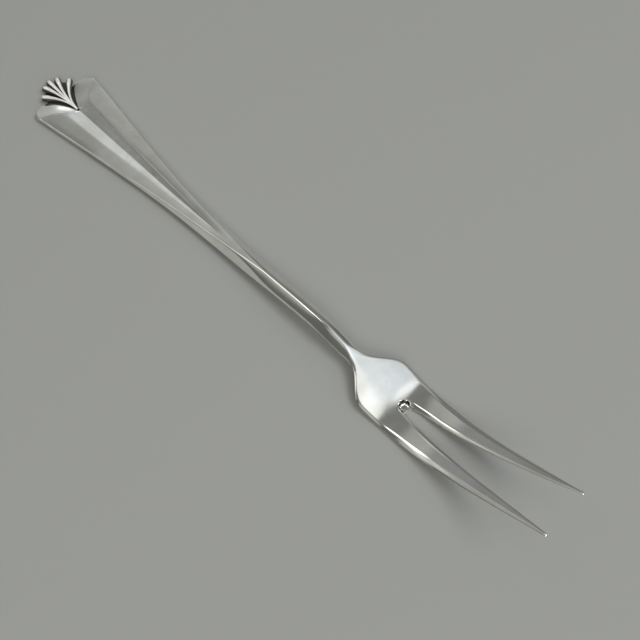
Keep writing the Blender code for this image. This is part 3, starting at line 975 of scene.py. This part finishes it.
ribs = bpy.data.node_groups.new("rib_fan", "GeometryNodeTree")
ribs.interface.new_socket("Geometry", in_out="INPUT", socket_type="NodeSocketGeometry")
ribs.interface.new_socket("Geometry", in_out="OUTPUT", socket_type="NodeSocketGeometry")
for name, kind in RIB_INPUTS.items():
    ribs.interface.new_socket(name, in_out="INPUT", socket_type="NodeSocket" + kind)
wanted = add_node(ribs, "NodeGroupInput").outputs
tree_end = add_node(ribs, "NodeGroupOutput")
print("rib tree takes", ", ".join(RIB_INPUTS))

# %% Rib tree: a row of straight ribs
RIB_POINTS = 40


def place_across(number):
    """Where a rib stands in the row: -1 for the first, 0 for the middle, 1 for the last."""
    last = add_node(ribs, "ShaderNodeMath", {0: wanted["Rib count"], 1: 1.0}, operation="SUBTRACT")
    across = add_node(ribs, "ShaderNodeMapRange", {
        "Value": number, "From Max": last.outputs[0], "To Min": -1.0, "To Max": 1.0})
    return across.outputs["Result"]


index = add_node(ribs, "GeometryNodeInputIndex").outputs[0]
across = place_across(index)
outward = add_node(ribs, "ShaderNodeMath", {0: across, 1: across}, operation="MULTIPLY")
length = add_node(ribs, "ShaderNodeMapRange", {
    "Value": outward.outputs[0], "To Min": wanted["Middle length"], "To Max": wanted["Side length"]})
rib_size = add_node(ribs, "ShaderNodeCombineXYZ", {"X": length.outputs["Result"], "Y": 1.0, "Z": 1.0})
rib_line = add_node(ribs, "GeometryNodeCurvePrimitiveLine", {"End": (-1.0, 0.0, 0.0)})
rib_points = add_node(ribs, "GeometryNodeResampleCurve", {
    "Curve": rib_line.outputs[0], "Count": RIB_POINTS})
spots = add_node(ribs, "GeometryNodeMeshLine", {
    "Count": wanted["Rib count"], "Offset": (0.0, 0.0, 0.0)})
rib_row = add_node(ribs, "GeometryNodeInstanceOnPoints", {
    "Points": spots.outputs[0], "Instance": rib_points.outputs[0], "Scale": rib_size.outputs[0]})
lines = add_node(ribs, "GeometryNodeRealizeInstances", {"Geometry": rib_row.outputs[0]})
print("each rib is a line of", RIB_POINTS, "points")

# %% Rib tree: bend, rise and swell
# Both profiles run from the root of a rib to its end.
RIB_SWELL = (
    (0, 0.32), (0.3, 0.42), (0.55, 0.56), (0.75, 0.8), (0.88, 1.0), (0.95, 0.95), (0.985, 0.7),
    (1.0, 0.15))
RIB_RISE = ((0, 0.3), (0.4, 0.6), (0.85, 1.0), (1.0, 0.95))

along_rib = add_node(ribs, "GeometryNodeSplineParameter").outputs["Factor"]
swell = add_node(ribs, "ShaderNodeFloatCurve", {"Value": along_rib})
rise = add_node(ribs, "ShaderNodeFloatCurve", {"Value": along_rib})
for node, points in ((swell, RIB_SWELL), (rise, RIB_RISE)):
    profile = node.mapping.curves[0].points
    profile[0].location = points[0]
    profile[1].location = points[-1]
    for point in points[1:-1]:
        profile.new(*point)
    node.mapping.update()
passed = add_node(ribs, "ShaderNodeMath", {0: index, 1: RIB_POINTS}, operation="DIVIDE")
rib_number = add_node(ribs, "ShaderNodeMath", {0: passed.outputs[0]}, operation="FLOOR")
rib_place = place_across(rib_number.outputs[0])
end_side = add_node(ribs, "ShaderNodeMath", {
    0: rib_place, 1: wanted["Half spread"]}, operation="MULTIPLY")
bend = add_node(ribs, "ShaderNodeMath", {0: along_rib, 1: wanted["Bend"]}, operation="POWER")
opened = add_node(ribs, "ShaderNodeMath", {
    0: bend.outputs[0], 1: wanted["Root spread"]}, operation="ADD")
rib_side = add_node(ribs, "ShaderNodeMath", {
    0: end_side.outputs[0], 1: opened.outputs[0]}, operation="MULTIPLY")
stagger = add_node(ribs, "ShaderNodeMath", {
    0: rib_place, 1: wanted["Root stagger"]}, operation="MULTIPLY")
rib_height = add_node(ribs, "ShaderNodeMath", {
    0: rise.outputs[0], 1: wanted["Rise"]}, operation="MULTIPLY")
rib_radius = add_node(ribs, "ShaderNodeMath", {
    0: swell.outputs[0], 1: wanted["Rib radius"]}, operation="MULTIPLY")
bent = add_node(ribs, "ShaderNodeCombineXYZ", {
    "X": stagger.outputs[0], "Y": rib_side.outputs[0], "Z": rib_height.outputs[0]})
fan_lines = add_node(ribs, "GeometryNodeSetPosition", {
    "Geometry": lines.outputs[0], "Offset": bent.outputs[0]})
print("swell and rise have", len(RIB_SWELL), "and", len(RIB_RISE), "points")

# %% Rib tree: tubes, fused with the plate
TUBE_SIDES = 24

tube_ring = add_node(ribs, "GeometryNodeCurvePrimitiveCircle", {"Resolution": TUBE_SIDES, "Radius": 1.0})
tubes = add_node(ribs, "GeometryNodeCurveToMesh", {
    "Curve": fan_lines.outputs[0], "Profile Curve": tube_ring.outputs[0], "Fill Caps": True,
    "Scale": rib_radius.outputs[0]})
moved = add_node(ribs, "GeometryNodeTransform", {
    "Geometry": tubes.outputs[0], "Translation": wanted["Rib root"]})
fused = add_node(ribs, "GeometryNodeMeshBoolean", {
    "Self Intersection": True}, operation="UNION", solver="EXACT")
ribs.links.new(wanted["Geometry"], fused.inputs["Mesh 2"])
ribs.links.new(moved.outputs[0], fused.inputs["Mesh 2"])
single = add_node(ribs, "GeometryNodeRealizeInstances", {"Geometry": fused.outputs[0]})
finished = add_node(ribs, "GeometryNodeSetMaterial", {
    "Geometry": single.outputs[0], "Material": wanted["Finish"]})
ribs.links.new(finished.outputs[0], tree_end.inputs[0])
print("rib tree has", len(ribs.nodes), "nodes")

# %% [markdown]
# The tree is now a mould, and its sizes are poured in. A modifier knows its inputs by identifier, not by
# name. The evaluated result becomes a plain mesh, because a piece that is kept must not depend on a
# modifier.

# %% Cast the shell
# The roots stand slightly apart, because tubes that share one root would leave slivers when they fuse.
RIB_ROOT = 4.5
RIB_ROOT_HEIGHT = 0.75
RIB_VALUES = {
    "Rib count": 5,
    "Middle length": 10.95 * MM,
    "Side length": 7.9 * MM,
    "Half spread": 4.0 * MM,
    "Bend": 2.1,
    "Root spread": 0.02,
    "Root stagger": 0.04 * MM,
    "Rib radius": 0.76 * MM,
    "Rise": 0.6 * MM,
    "Rib root": ((RIB_ROOT + START_X) * MM, 0.0, RIB_ROOT_HEIGHT * MM),
    "Finish": dark_silver,
}
grown = shell_source.modifiers.new("rib_fan", "NODES")
grown.node_group = ribs
for item in ribs.interface.items_tree:
    if item.name in RIB_VALUES:
        grown[item.identifier] = RIB_VALUES[item.name]
evaluated = shell_source.evaluated_get(bpy.context.evaluated_depsgraph_get())
shell_mesh = bpy.data.meshes.new_from_object(evaluated)
shell_mesh.name = "cast_shell"
shell = smooth_piece("cast_shell", shell_mesh)
shell_source.modifiers.remove(grown)
bpy.data.objects.remove(shell_source)
shell_points = np.array([vertex.co for vertex in shell_mesh.vertices])
print("shell box:", shell_points.min(axis=0).round(5), shell_points.max(axis=0).round(5))

# %% [markdown]
# ## Joining up
# A silversmith hard-solders the three pieces, and from then on the fork is one rigid thing. So every
# piece rides on the fork's one body, and the imported solid under it is hidden.

# %% Ride and replace
# The shell's finish holds painted shade in its hollows and a painted highlight on its crests.
for piece, node, finish in (
        (handle, "handle", "polished_silver"),
        (head, "fork_head", "polished_silver"),
        (shell, "shell_finial", "oxidised_silver")):
    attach(piece, "root")
    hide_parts(node)
    print(piece.name, "stands for", node, "in", finish)
